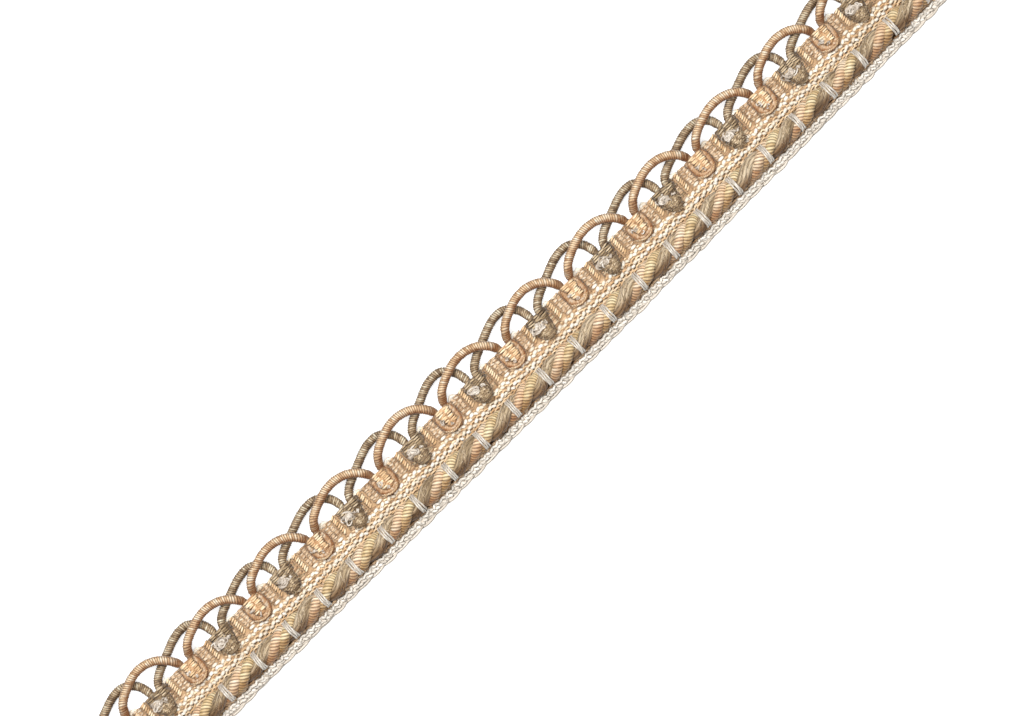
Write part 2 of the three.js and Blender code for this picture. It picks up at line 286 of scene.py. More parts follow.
def spline(points, step):
    """A smooth line through the points, with stations about step apart."""
    points = np.asarray(points, float)
    chords = np.linalg.norm(np.diff(points, axis=0), axis=1)
    knots = np.concatenate([[0], np.cumsum(chords)])
    count = len(points)
    system = np.eye(count)
    right = np.zeros_like(points)
    slopes = np.diff(points, axis=0) / chords[:, None]
    for row in range(1, count - 1):
        system[row, row - 1] = chords[row - 1]
        system[row, row] = 2 * (chords[row - 1] + chords[row])
        system[row, row + 1] = chords[row]
        right[row] = 6 * (slopes[row] - slopes[row - 1])
    bends = np.linalg.solve(system, right)

    fine = np.linspace(0, knots[-1], count * 40)
    span = np.clip(np.searchsorted(knots, fine, side="right") - 1, 0, count - 2)
    width = chords[span][:, None]
    before = (knots[span + 1] - fine)[:, None]
    after = (fine - knots[span])[:, None]
    line = (bends[span] * before ** 3 + bends[span + 1] * after ** 3) / (6 * width)
    line += (points[span] / width - bends[span] * width / 6) * before
    line += (points[span + 1] / width - bends[span + 1] * width / 6) * after
    along = np.concatenate([[0], np.cumsum(np.linalg.norm(np.diff(line, axis=0), axis=1))])
    places = np.linspace(0, along[-1], int(along[-1] / step) + 1)
    return np.stack([np.interp(places, along, line[:, axis]) for axis in range(3)], axis=1)


def smooth(share):
    """Eases a share from 0 to 1."""
    share = np.clip(share, 0, 1)
    return share * share * (3 - 2 * share)


# Materials

def linear(red, green, blue):
    """A colour of the photograph's scale, 0 to 255, as the renderer's linear values."""
    def channel(value):
        value /= 255
        return value / 12.92 if value <= 0.04045 else ((value + 0.055) / 1.055) ** 2.4
    return (channel(red), channel(green), channel(blue), 1.0)


def yarn_material(name, dark, middle, bright, painted_groove_shade, fibres=(2.5, 0.6), roughness=0.62, sheen=0.25,
                  shade_tint=(255, 255, 255)):
    """Spun yarn. Its tone runs from dark to bright by thread and by fibre, and its grooves are painted
    darker, as shade between the threads. fibres gives how fine the streaks are round the yarn and along
    it, and the last colour darkens the places that get painted shade: yarn in the weave, the sides of
    cords and links, and the rope's side towards the chain."""
    material = bpy.data.materials.new(name)
    material.use_nodes = True
    nodes = material.node_tree.nodes
    links = material.node_tree.links
    shader = nodes["Principled BSDF"]
    shader.inputs["Sheen Weight"].default_value = sheen
    shader.inputs["Sheen Roughness"].default_value = 0.4
    shader.inputs["Specular IOR Level"].default_value = 0.35

    yarn = nodes.new("ShaderNodeAttribute")
    yarn.attribute_name = "yarn"
    shade = nodes.new("ShaderNodeAttribute")
    shade.attribute_name = "shade"
    split = nodes.new("ShaderNodeSeparateXYZ")
    links.new(shade.outputs["Vector"], split.inputs[0])

    scale = nodes.new("ShaderNodeVectorMath")
    scale.operation = "MULTIPLY"
    scale.inputs[1].default_value = (fibres[0], fibres[0], fibres[1])
    links.new(yarn.outputs["Vector"], scale.inputs[0])
    streaks = nodes.new("ShaderNodeTexNoise")
    streaks.inputs["Scale"].default_value = 2.0
    streaks.inputs["Detail"].default_value = 4.0
    streaks.inputs["Roughness"].default_value = 0.6
    links.new(scale.outputs[0], streaks.inputs["Vector"])

    fibre = nodes.new("ShaderNodeMath")
    fibre.operation = "MULTIPLY_ADD"
    fibre.inputs[1].default_value = 1.1
    fibre.inputs[2].default_value = -0.33
    links.new(streaks.outputs["Fac"], fibre.inputs[0])
    blend = nodes.new("ShaderNodeMath")
    blend.operation = "MULTIPLY_ADD"
    blend.inputs[1].default_value = 0.55
    links.new(split.outputs[0], blend.inputs[0])
    links.new(fibre.outputs[0], blend.inputs[2])

    ramp = nodes.new("ShaderNodeValToRGB")
    ramp.color_ramp.elements[0].position = 0.12
    ramp.color_ramp.elements[0].color = linear(*dark)
    ramp.color_ramp.elements[1].position = 0.95
    ramp.color_ramp.elements[1].color = linear(*bright)
    ramp.color_ramp.elements.new(0.5).color = linear(*middle)
    links.new(blend.outputs[0], ramp.inputs["Fac"])

    # The grooves' colour is painted shade between the threads
    depth = nodes.new("ShaderNodeMix")
    depth.data_type = "RGBA"
    depth.inputs["A"].default_value = linear(*painted_groove_shade)
    links.new(split.outputs[1], depth.inputs["Factor"])
    links.new(ramp.outputs["Color"], depth.inputs["B"])
    # Places the shade attribute marks get painted shade, multiplied by the yarn's last colour
    painted_shading = nodes.new("ShaderNodeMix")
    painted_shading.data_type = "RGBA"
    painted_shading.blend_type = "MULTIPLY"
    painted_shading.inputs["B"].default_value = linear(*shade_tint)
    links.new(split.outputs[2], painted_shading.inputs["Factor"])
    links.new(depth.outputs["Result"], painted_shading.inputs["A"])
    links.new(painted_shading.outputs["Result"], shader.inputs["Base Color"])

    gloss = nodes.new("ShaderNodeMapRange")
    gloss.inputs["To Min"].default_value = roughness - 0.12
    gloss.inputs["To Max"].default_value = roughness + 0.15
    links.new(streaks.outputs["Fac"], gloss.inputs["Value"])
    links.new(gloss.outputs["Result"], shader.inputs["Roughness"])

    bump = nodes.new("ShaderNodeBump")
    bump.inputs["Strength"].default_value = 0.6
    bump.inputs["Distance"].default_value = 0.00012
    links.new(streaks.outputs["Fac"], bump.inputs["Height"])
    links.new(bump.outputs["Normal"], shader.inputs["Normal"])
    return material


# Each yarn's fourth colour is painted shade for its grooves, and its last colour darkens its
# painted-shade places
GOLD_CORD = yarn_material(
    "gold_cord", (182, 140, 96), (244, 213, 170), (255, 254, 236), (104, 69, 41),
    fibres=(1.3, 0.8), roughness=0.5, shade_tint=(164, 127, 97),
)
TAUPE_CORD = yarn_material(
    "taupe_cord", (112, 88, 60), (202, 175, 138), (255, 248, 222), (68, 50, 32),
    fibres=(1.3, 0.8), roughness=0.55, shade_tint=(158, 136, 110),
)
GOLD_THREAD = yarn_material(
    "gold_thread", (194, 152, 104), (242, 208, 164), (255, 246, 218), (108, 72, 42), roughness=0.5,
)
BROWN_THREAD = yarn_material(
    "brown_thread", (144, 109, 76), (200, 164, 126), (244, 218, 184), (98, 71, 47),
)
LEG_THREAD = yarn_material(
    "leg_thread", (144, 104, 68), (192, 148, 106), (232, 194, 150), (116, 82, 52), roughness=0.6,
)
TAN_THREAD = yarn_material(
    "tan_thread", (172, 144, 112), (216, 191, 160), (244, 230, 207), (124, 97, 71),
)
TAUPE_THREAD = yarn_material(
    "taupe_thread", (116, 92, 64), (184, 158, 122), (240, 220, 188), (80, 60, 40), roughness=0.7,
)
BAG_THREAD = yarn_material(
    "bag_thread", (80, 62, 43), (132, 108, 80), (196, 172, 138), (70, 54, 38), roughness=0.7,
)
CREAM_THREAD = yarn_material(
    "cream_thread", (222, 206, 182), (248, 238, 220), (255, 252, 244), (176, 150, 120), roughness=0.6,
)
WHITE_YARN = yarn_material(
    "white_yarn", (208, 198, 184), (238, 229, 216), (250, 245, 236), (158, 146, 130),
    roughness=0.75, sheen=0.4, shade_tint=(186, 178, 170),
)
TUFT_YARN = yarn_material(
    "tuft_yarn", (142, 126, 108), (198, 184, 168), (246, 240, 230), (116, 99, 81),
    roughness=0.75, sheen=0.4,
)
WHITE_THREAD = yarn_material(
    "white_thread", (200, 190, 178), (230, 222, 210), (252, 248, 240), (160, 148, 134), roughness=0.5,
)
# Painted shade for the crepe plies' side towards the chain; the taupe ply's is darker
ROPE_SHADE = (198, 176, 154)
PEACH_PLY = yarn_material(
    "peach_ply", (218, 176, 134), (250, 221, 184), (255, 248, 226), (108, 70, 42),
    fibres=(0.8, 5.0), roughness=0.4, shade_tint=ROPE_SHADE,
)
GREEN_PLY = yarn_material(
    "green_ply", (198, 166, 118), (240, 214, 166), (255, 246, 210), (104, 78, 44),
    fibres=(0.8, 5.0), roughness=0.4, shade_tint=ROPE_SHADE,
)
TAUPE_PLY = yarn_material(
    "taupe_ply", (112, 92, 66), (192, 168, 132), (250, 232, 202), (80, 62, 42),
    fibres=(5.0, 0.35), roughness=0.6, sheen=0.4, shade_tint=(170, 146, 122),
)
PLY_FIBRE = yarn_material(
    "ply_fibre", (96, 76, 52), (184, 158, 122), (252, 236, 208), (96, 76, 52), roughness=0.6,
    shade_tint=(170, 146, 122),
)
CLOTH = yarn_material(
    "tape_cloth", (150, 118, 84), (194, 160, 122), (222, 190, 152), (128, 98, 68), roughness=0.8,
)


# The woven tape

def column_x(column):
    """Where a rib column lies: the tenth of a pitch that it stands for, between its two front feet."""
    pitches = np.array(column, float) / 10
    feet = np.concatenate([[-7 * PITCH], FRONT_FEET, [7 * PITCH]])
    return np.interp(pitches, np.arange(-7, 8), feet)


COLUMNS = np.arange(-67, 68)


def cloth_part():
    """The tape's cloth: ribs across its heading, lower ones beyond them, and a flat back."""
    stations = np.linspace(-HALF_LENGTH, HALF_LENGTH, 4 * 135 + 1)
    crest = np.abs(np.cos(np.pi * stations / COLUMN))
    across = np.linspace(HEADING_TOP, TAPE_LOW, 19)
    ribbed = smooth((across - RIB_END + 0.8) / 0.8)
    top = CLOTH_TOP + RIB_RISE * crest[:, None] * (0.25 + 0.75 * ribbed[None, :])
    top = top + HEADING_SWELL * ribbed[None, :]
    edge = 0.35 * (1 - crest)[:, None] * smooth((across - HEADING_TOP + 1.5) / 1.5)[None, :]
    y = across[None, :] - edge
    x = np.broadcast_to(stations[:, None], top.shape)
    upper = np.stack([x, y, top], axis=-1)
    under = np.broadcast_to(0.02 * crest[:, None], top.shape)
    lower = np.stack([x, y, under], axis=-1)[:, ::-1]
    rings = np.concatenate([upper, lower], axis=1)
    count, corners = rings.shape[:2]
    corner = np.arange(corners)[None, :]
    ring = np.arange(count - 1)[:, None] * corners
    here = ring + corner
    beside = ring + (corner + 1) % corners
    quads = np.stack([here, beside, beside + corners, here + corners], axis=-1).reshape(-1, 4)
    ends = np.stack([np.arange(corners)[::-1], np.arange(corners) + (count - 1) * corners])
    turn = np.concatenate([across, across[::-1] - 3.0])
    turn = np.broadcast_to(turn, (count, corners))
    zero = np.zeros((count, corners))
    yarn = np.stack([turn, zero, rings[..., 0]], axis=-1)
    lift = np.broadcast_to(crest[:, None], (count, corners))
    # The cloth is painted darker between the ribs' crests, as shade in the hollows
    shade = np.stack([zero + 0.5, 0.35 + 0.65 * lift, zero], axis=-1)
    return Part(rings.reshape(-1, 3), quads, ends, yarn.reshape(-1, 3), shade.reshape(-1, 3))


def floats(x, y, z, length, radius, tilt=0.0, arc=0.28, flat=0.75, stations=5, sides=5):
    """Short stretches of thread that show between two crossings, each a low arch whose ends sink,
    darkened there with painted shade.
    """
    x, y, z, length, tilt = np.broadcast_arrays(x, y, z, length, tilt)
    t = np.linspace(-1, 1, stations)[None, :]
    reach = length.ravel()[:, None] / 2 * t
    angle = tilt.ravel()[:, None]
    lines = np.stack([
        x.ravel()[:, None] + reach * np.cos(angle),
        y.ravel()[:, None] + reach * np.sin(angle),
        z.ravel()[:, None] + arc * (1 - 1.6 * t * t),
    ], axis=-1)
    radii = radius * (1 - 0.45 * t ** 4) * np.ones_like(reach)
    tones = RANDOM.random(len(reach))
    return sweep(lines, radii, sides, tones=tones, flat=flat, twist=1.6, painted_end_shade=0.75)


def column_kind(column):
    """How far a rib column lies from the nearest front foot, 0 to 5."""
    return np.minimum(np.mod(column, 10), np.mod(-column, 10))


def jitter(shape, size):
    """Small random shifts, about as large as size."""
    return RANDOM.normal(0, size, shape)


def heading_parts():
    """The floats of the heading: dull ribs, mixed tan and brown ones, and the bright crepe columns."""
    kinds = column_kind(COLUMNS)
    x = column_x(COLUMNS)
    made = {"gold": [], "brown": [], "cream": [], "tan": [], "taupe": []}

    mixed = x[kinds == 2]
    rows = np.arange(6.45, 0.5, -0.62)
    for number, row in enumerate(rows):
        for half, offset in enumerate((-0.68, 0.68)):
            colour = "brown" if (number + half) % 2 else "tan"
            place = mixed + offset + jitter(mixed.shape, 0.12)
            y = row + jitter(mixed.shape, 0.1)
            made[colour].append(floats(place, y, RIB_Z, 1.6, 0.32, tilt=jitter(mixed.shape, 0.2)))

    bright = x[kinds == 3]
    for row in np.arange(6.4, 0.2, -0.8):
        y = row + jitter(bright.shape, 0.06)
        made["gold"].append(
            floats(bright, y, RIB_Z + 0.3, 2.1, 0.31, tilt=0.48 + jitter(bright.shape, 0.08))
        )

    inner = x[kinds <= 1]
    for row in np.arange(6.4, -0.8, -0.66):
        y = row + jitter(inner.shape, 0.08)
        made["brown"].append(floats(inner, y, RIB_Z, 2.8, 0.34, tilt=jitter(inner.shape, 0.08)))

    outer = x[kinds >= 4]
    for number, row in enumerate(np.arange(6.4, -0.8, -0.66)):
        y = row + jitter(outer.shape, 0.08)
        colour = "brown" if number % 3 else "taupe"
        made[colour].append(floats(outer, y, RIB_Z, 2.8, 0.34, tilt=jitter(outer.shape, 0.08)))
    return made


def waves(x, row, z, radius, swing, shift=0.0):
    """A row of threads that rise over each column and dip between columns."""
    t = np.linspace(-1, 1, 7)[None, :]
    reach = 0.56 * COLUMN * t
    ends = jitter((len(x), 1), 0.12) * t
    lines = np.stack([
        x[:, None] + shift + reach + jitter((len(x), 1), 0.1),
        row + (swing + jitter((len(x), 1), 0.06)) * np.cos(np.pi * t) + jitter((len(x), 1), 0.1) + ends,
        z + 0.3 * (1 - 1.5 * t * t) + jitter((len(x), 1), 0.04),
    ], axis=-1)
    radii = radius * (1 - 0.35 * t ** 4)
    # Painted shade darkens each wave towards its ends
    return sweep(lines, radii, 5, tones=RANDOM.random(len(x)), flat=0.8, twist=1.6, painted_end_shade=0.6)


def row_parts(made):
    """The rows below the heading: each is a pair of threads that rise by turns, so it zigzags."""
    x = column_x(COLUMNS)
    # Colour, place across the trim, radius, height, swing and shift in columns
    rows = [
        ("gold", -1.05, 0.3, 1.05, 0.2, 0.5),
        ("cream", -1.8, 0.26, 1.15, 0.34, 0.0),
        ("gold", -2.45, 0.28, 1.15, 0.3, 0.0),
        ("brown", -2.9, 0.26, 1.0, 0.2, 0.5),
        ("gold", -3.35, 0.28, 1.15, 0.3, 0.5),
        ("cream", -4.05, 0.28, 1.15, 0.34, 0.0),
        ("gold", -4.7, 0.3, 1.2, 0.28, 0.5),
        ("gold", -5.2, 0.28, 1.25, 0.25, 0.0),
        ("gold", -5.6, 0.32, 1.2, 0.2, 0.5),
    ]
    for colour, row, radius, z, swing, shift in rows:
        made[colour].append(waves(x, row, z, radius, swing, shift * COLUMN))
    for row, z in ((-1.75, 1.6), (-4.05, 1.5)):
        for offset, rise, length, radius, lean in (
            (0.0, 0.3, 1.85, 0.58, 0.35), (COLUMN / 2, -0.22, 1.6, 0.5, -0.4),
        ):
            place = x[:-1] + offset + jitter(x[:-1].shape, 0.14)
            y = row + rise + jitter(place.shape, 0.12)
            tilt = lean + jitter(place.shape, 0.25)
            made["cream"].append(floats(place, y, z, length, radius, tilt=tilt, arc=0.2))
    spots = x[column_kind(COLUMNS) == 2]
    made["cream"].append(floats(spots, -0.1 + jitter(spots.shape, 0.08), 1.7, 2.2, 0.5, arc=0.36))
    between = x[column_kind(COLUMNS) != 2]
    made["brown"].append(floats(between, -0.45 + jitter(between.shape, 0.1), 1.45, 2.7, 0.34))
    # Under the rope's edge lie a brown row and a tan one; the brown row's dark colour is partly the
    # weave's brownish threads and partly painted shade of the gap between rope and chain
    low = np.arange(-HALF_LENGTH + 1, HALF_LENGTH - 1, 1.3)
    for colour, row, z in (("brown", -12.2, 2.7), ("tan", -12.7, 2.1)):
        made[colour].append(floats(low, row + jitter(low.shape, 0.08), z, 1.7, 0.42))


def back_parts(made):
    """The back of the weave: the same rows, lying flat under the cloth."""
    x = column_x(COLUMNS) + COLUMN / 2
    for number, row in enumerate(np.arange(HEADING_TOP - 0.6, TAPE_LOW + 0.3, -1.1)):
        colour = "cream" if number % 3 == 1 else "gold"
        y = row + np.where(COLUMNS % 2, 0.2, -0.2)
        place = x[:-1]
        made[colour].append(
            floats(place, y[:-1], 0.16, 2.3, 0.4, arc=-0.02, flat=0.35, stations=3, sides=4)
        )


# The looped cords

def cord_line(kind, feet):
    """The centre line of one looped cord, through all its feet and arches."""
    points = []
    arrival = kind["down"][0][0]
    departure = kind["up"][-1][0]
    for number, x in enumerate(feet):
        points += [(x - side, y, FOOT_Z) for side, y in kind["down"]]
        points.append((x, kind["turn"], FOOT_Z))
        points += [(x + side, y, FOOT_Z) for side, y in kind["up"]]
        if number + 1 < len(feet):
            span = feet[number + 1] - x - departure - arrival
            peak = kind["tops"][number] - CORD_RADIUS - HEADING_TOP
            for share, rise in kind["arch"]:
                settled = smooth(rise / SETTLED_RISE)
                z = FOOT_Z + (kind["arch_z"] - FOOT_Z) * settled
                points.append((x + departure + share * span, HEADING_TOP + rise * peak, z))
    return points


def cord_part(kind, feet, seed):
    """A looped cord with the turns of its wrapping, which are pressed smoother where it is sewn."""
    line = spline(cord_line(kind, feet), WRAP_PITCH / 4)
    free = smooth((line[:, 1] - HEADING_TOP) / FREE_REACH)
    radius = SEWN_RADIUS + (CORD_RADIUS - SEWN_RADIUS) * free
    wrap = Wrap(WRAP_PITCH, -3, WRAP_DEPTH, seed, stretches=3)
    sewn = smooth((HEADING_TOP + 0.6 - line[:, 1]) / 1.2)
    # Painted shade darkens the sewn stretch, the cord's flanks and its side away from the loops
    part = sweep(line[None], radius[None], 12, wrap=wrap, painted_shade=SEWN_SHADE * sewn[None], painted_side_shade=1.0)
    # Where the cord is sewn, its grooves get less painted shade
    crest = part.shade[:, 1].reshape(len(line), -1)
    part.shade[:, 1] = (crest + 0.7 * sewn[:, None] * (1 - crest)).ravel()
    return part


def leg_offset(leg, y):
    """How far a leg lies from the middle of its foot at this place across the heading."""
    points = sorted(leg, key=lambda point: point[1])
    return np.interp(y, [point[1] for point in points], [point[0] for point in points])


def wrap_part(kind, feet, rows, radius, lift=0.0, margin=1.0):
    """Threads across each foot that hug both of its legs, down to the turn that joins them.
    margin is how far they run on past the legs, in cord radii."""
    t = np.linspace(-1, 1, 13)
    shell = SEWN_RADIUS + radius + lift
    lines = []
    for foot in feet:
        for row in rows:
            y = row + RANDOM.normal(0, 0.08)
            below = max(0.0, kind["turn"] - y) / (1.25 * shell)
            taper = max(0.2, 1 - below) ** 0.7
            middle = np.where(t < 0, leg_offset(kind["down"], y), leg_offset(kind["up"], y)) * taper
            reach = (middle + margin * shell * taper) * (1 + RANDOM.normal(0, 0.04))
            side = reach * t
            beyond = np.clip((np.abs(side) - middle) / (margin * shell), 0, 1)
            top = FOOT_Z + shell * taper
            lines.append(np.stack([
                foot + side,
                y + RANDOM.normal(0, 0.08) * np.sin(4 * t) - 0.15 * (1 - t * t),
                1.5 + (top - 1.5) * (1 - beyond ** 2) ** 0.9 + RANDOM.normal(0, 0.05),
            ], axis=-1))
    tones = RANDOM.random(len(lines))
    # Painted shade darkens each thread a little towards its ends
    return sweep(np.array(lines), radius, 5, tones=tones, twist=1.8, painted_end_shade=0.1)


def dash_part(feet, columns, rows, length, radius, z, narrowing=0.0):
    """Bright stretches of thread across each foot, in columns that are out of step with each other.
    narrowing draws the columns together down the foot, as a share for each millimetre."""
    step = rows[0] - rows[1]
    places = []
    for foot in feet:
        for number, offset in enumerate(columns):
            for row in rows - step / 2 * (number % 2):
                share = 1 - narrowing * (rows[0] - row)
                places.append((foot + share * offset, row, share * length))
    x, y, lengths = np.array(places).T
    count = len(places)
    lengths = lengths * RANDOM.uniform(0.75, 1.2, count)
    return floats(x + jitter(count, 0.14), y + jitter(count, 0.07), z + jitter(count, 0.06), lengths,
                  radius, tilt=jitter(count, 0.1), arc=0.3, flat=0.8)


def turn_part(feet):
    """The bright thread along the outer edge of each front foot's turn."""
    t = np.linspace(-1, 1, 25)
    lines = []
    for foot in feet:
        lines.append(np.stack([
            foot - 0.25 + 3.2 * t,
            -0.9 + 1.5 * np.abs(t) ** 2.2 + RANDOM.normal(0, 0.08) * np.sin(4 * t),
            FOOT_Z + SEWN_RADIUS + 0.5 - 1.6 * t ** 4,
        ], axis=-1))
    wrap = Wrap(0.8, 2, 0.1, 8)
    return sweep(np.array(lines), 0.3, 10, wrap=wrap)


def knot_part(feet, offset, y, z, size, strands, radius):
    """A small knot of white thread on each foot: turns of thread about one place."""
    s = np.linspace(0, 1, 9)
    lines = []
    for foot in feet:
        for _ in range(strands):
            start = RANDOM.uniform(0, 2 * np.pi)
            angle = start + RANDOM.uniform(1.6, 3.6) * s
            wide = size * RANDOM.uniform(0.2, 0.9)
            lean = RANDOM.uniform(-0.6, 0.6)
            across = 1.2 * wide * np.cos(angle)
            along = 0.8 * wide * np.sin(angle) + lean * across
            lines.append(np.stack([
                foot + offset + RANDOM.normal(0, 0.4 * size) + across,
                y + RANDOM.normal(0, 0.25 * size) + along,
                z + 0.35 * np.sin(np.pi * s) + RANDOM.uniform(-0.3, 0.3) - 0.3 * (2 * s - 1) ** 4,
            ], axis=-1))
    radii = radius * (1 - 0.5 * (2 * s - 1) ** 4)[None, :]
    tones = RANDOM.random(len(lines))
    # Painted shade darkens each strand towards its ends
    return sweep(np.array(lines), radii, 6, tones=tones, twist=2.2, painted_end_shade=0.5)


def edge_bump_part():
    """Cream turns of thread that stand out of the heading's edge beside the feet."""
    t = np.linspace(-1, 1, 9)
    lines = []
    for feet, offset, reach, rise in ((FRONT_FEET, 4.8, 1.5, 1.25), (BACK_FEET, 5.2, 1.3, 0.9)):
        for foot in feet:
            for _ in range(3):
                x = foot + offset + RANDOM.normal(0, 0.3)
                peak = rise * RANDOM.uniform(0.6, 1.1)
                lines.append(np.stack([
                    x + reach * t + 0.2 * (1 - t * t),
                    6.4 + peak * (1 - np.abs(t) ** 1.6),
                    1.5 + 0.6 * (1 - t * t) + RANDOM.normal(0, 0.1),
                ], axis=-1))
    tones = RANDOM.random(len(lines))
    # Painted shade darkens each turn towards its ends
    return sweep(np.array(lines), 0.32, 5, tones=tones, twist=1.5, painted_end_shade=0.5)


# The rope and its stitches

def pinch(x):
    """How much the stitches narrow the rope at these places."""
    distance = np.abs(x[:, None] - np.array(STITCHES)[None, :]).min(axis=1)
    return 1 - PINCH_DEPTH * np.exp(-((distance / PINCH_REACH) ** 2))


def rope_shade(points):
    """How much painted shade darkens the rope's side towards the chain at these points."""
    return smooth((ROPE_Y + 0.5 - points[:, 1]) / 2.6)


def ply_part(on_top, from_axis, radius, step, sides, wrap):
    """One ply of the rope. on_top is where it crosses the rope's top."""
    x = np.arange(-HALF_LENGTH, HALF_LENGTH, step * PLY_ADVANCE)
    angle = 2 * np.pi * (x - on_top) / ROPE_LAY
    tight = pinch(x)
    line = np.stack([
        x,
        ROPE_Y + from_axis * tight * np.sin(angle),
        ROPE_Z + from_axis * tight * np.cos(angle),
    ], axis=-1)
    part = sweep(line[None], radius * tight[None], sides, wrap=wrap)
    height = part.points[:, 2]
    pressed = ROPE_BED + BED_EASE * np.logaddexp(0, (height - ROPE_BED) / BED_EASE)
    part.points[:, 2] = np.where(height < ROPE_BED + 2, pressed, height)
    part.shade[:, 2] = rope_shade(part.points)
    return part


def ply_fibres():
    """Loose fibres along the taupe ply."""
    count = 2600
    x = RANDOM.uniform(-HALF_LENGTH + 4, HALF_LENGTH - 4, count)
    t = np.linspace(-1, 1, 4)[None, :]
    reach = RANDOM.uniform(0.5, 1.4, count)[:, None]
    along = x[:, None] + reach * t
    angle = 2 * np.pi * (along - TAUPE_ON_TOP) / ROPE_LAY
    around = RANDOM.uniform(-1.4, 1.4, count)[:, None] + RANDOM.normal(0.1, 0.4, count)[:, None] * t
    lift = TAUPE_RADIUS + np.abs(RANDOM.normal(0, 0.05, count))[:, None] + 0.12 * t ** 2
    tight = pinch(along.ravel()).reshape(along.shape)
    y = TAUPE_OFFSET * np.sin(angle) + lift * np.sin(angle + around)
    z = TAUPE_OFFSET * np.cos(angle) + lift * np.cos(angle + around)
    lines = np.stack([along, ROPE_Y + tight * y, ROPE_Z + tight * z], axis=-1)
    lines = lines[lines[:, :, 2].min(axis=1) > ROPE_BED + 0.3]
    part = sweep(lines, 0.12, 3, tones=RANDOM.random(len(lines)))
    part.shade[:, 2] = rope_shade(part.points)
    return part


def stitch_part():
    """White threads over the rope, three to a stitch, that dive into the tape on both sides."""
    turn = np.linspace(math.radians(104), math.radians(-108), 17)
    lines = []
    for stitch in STITCHES:
        lean = RANDOM.normal(0, 0.15)
        for place in STITCH_THREADS:
            radius = STITCH_RADIUS + RANDOM.normal(0, 0.06)
            drift = RANDOM.normal(0, 0.1) * np.sin(1.7 * turn + RANDOM.uniform(0, 6))
            x = stitch + place + lean * turn / 2 + drift
            y = ROPE_Y + radius * np.sin(turn)
            z = ROPE_Z + radius * np.cos(turn)
            lines.append(np.stack([x, y, z], axis=-1))
    wrap = Wrap(0.9, 2, 0.07, 5)
    return sweep(np.array(lines), 0.3, 6, upright=(1, 0, 0), wrap=wrap)


# The chain edge

def chain_parts():
    """White links along the outer edge, the turning loops above them, and the yarn that fills both."""
    t = np.linspace(0, 1, 11)
    link = 2 * COLUMN
    starts = np.arange(-HALF_LENGTH + 1, HALF_LENGTH - link - 1, link)
    lines = []
    for start in starts:
        wide = 0.5 + RANDOM.normal(0, 0.08)
        drop = RANDOM.normal(0, 0.12)
        for way in (-1, 1):
            x = start + (link + 1.4) * t + RANDOM.normal(0, 0.15)
            bulge = way * wide * np.sin(np.pi * np.clip(t * 1.1, 0, 1)) ** 0.7
            y = CHAIN_LOW + 0.95 + drop + bulge - 0.3 * t + RANDOM.normal(0, 0.06) * np.sin(7 * t)
            z = 1.2 + 0.7 * t + RANDOM.normal(0, 0.1)
            lines.append(np.stack([x, y, z], axis=-1))
    tones = RANDOM.uniform(0, 0.5, len(lines))
    radii = 0.42 * (1 - 0.35 * (2 * t - 1) ** 6)[None, :]
    # Painted shade darkens each link towards its ends, on its flanks and on its side away from the
    # loops
    links = sweep(np.array(lines), radii, 6, tones=tones, twist=1.4, painted_end_shade=0.5, painted_side_shade=0.8)

    turns = []
    s = np.linspace(-1, 1, 7)
    for x in np.arange(-HALF_LENGTH + 1.5, HALF_LENGTH - 1.5, COLUMN):
        for shift, way in ((-0.7, 1), (0.65, -1)):
            lean = 0.75 + RANDOM.normal(0, 0.25)
            turns.append(np.stack([
                x + shift + lean * s + RANDOM.normal(0, 0.15),
                CHAIN_TOP - 0.95 + way * RANDOM.uniform(0.3, 0.7) * s + RANDOM.normal(0, 0.12),
                2.9 + 0.4 * (1 - s * s) + RANDOM.normal(0, 0.1),
            ], axis=-1))
    tones = RANDOM.uniform(0.35, 1, len(turns))
    radii = 0.4 * (1 - 0.4 * s ** 4)[None, :]
    # Painted shade darkens each loop towards its ends
    loops = sweep(np.array(turns), radii, 6, tones=tones, twist=1.4, painted_end_shade=0.6)

    places = np.arange(-HALF_LENGTH + 1.6, HALF_LENGTH - 1.6, 1.4)
    count = len(places)
    middle = floats(
        places + jitter(count, 0.15), CHAIN_MIDDLE + jitter(count, 0.12), 2.0, 2.3, 0.5,
        tilt=-0.55 + jitter(count, 0.2), arc=0.3, flat=0.9, sides=6,
    )

    x = np.arange(-HALF_LENGTH + 0.4, HALF_LENGTH - 0.2, 1.1)
    filling = []
    for y, z in ((CHAIN_LOW + 0.75, 0.75), (CHAIN_MIDDLE, 1.1), (CHAIN_TOP - 0.75, 1.9)):
        wobble = 0.12 * np.sin(2 * np.pi * x / link + y)
        filling.append(np.stack([x, y + wobble, np.full_like(x, z)], axis=-1))
    return [links, loops, middle, sweep(np.array(filling), 0.72, 6, twist=1.2)]


# Fuzz

def fuzz_part(count, centres, spread, low_z, high_z, size, radius):
    """Stray fibres, each a thin bent hair, scattered about some places."""
    t = np.linspace(-1, 1, 4)[None, :]
    home = np.asarray(centres)[RANDOM.integers(0, len(centres), count)]
    place = home + RANDOM.normal(0, 1, (count, 2)) * np.array(spread)
    angle = RANDOM.uniform(0, 2 * np.pi, count)[:, None]
    reach = RANDOM.uniform(0.5, 1, count)[:, None] * size
    bend = RANDOM.normal(0, 0.35, count)[:, None] * size
    lines = np.stack([
        place[:, :1] + reach * t * np.cos(angle) - bend * t * t * np.sin(angle),
        place[:, 1:] + reach * t * np.sin(angle) + bend * t * t * np.cos(angle),
        RANDOM.uniform(low_z, high_z, count)[:, None] + 0.25 * size * t ** 2,
    ], axis=-1)
    return sweep(lines, radius, 3, tones=RANDOM.random(count))


# Making the pieces

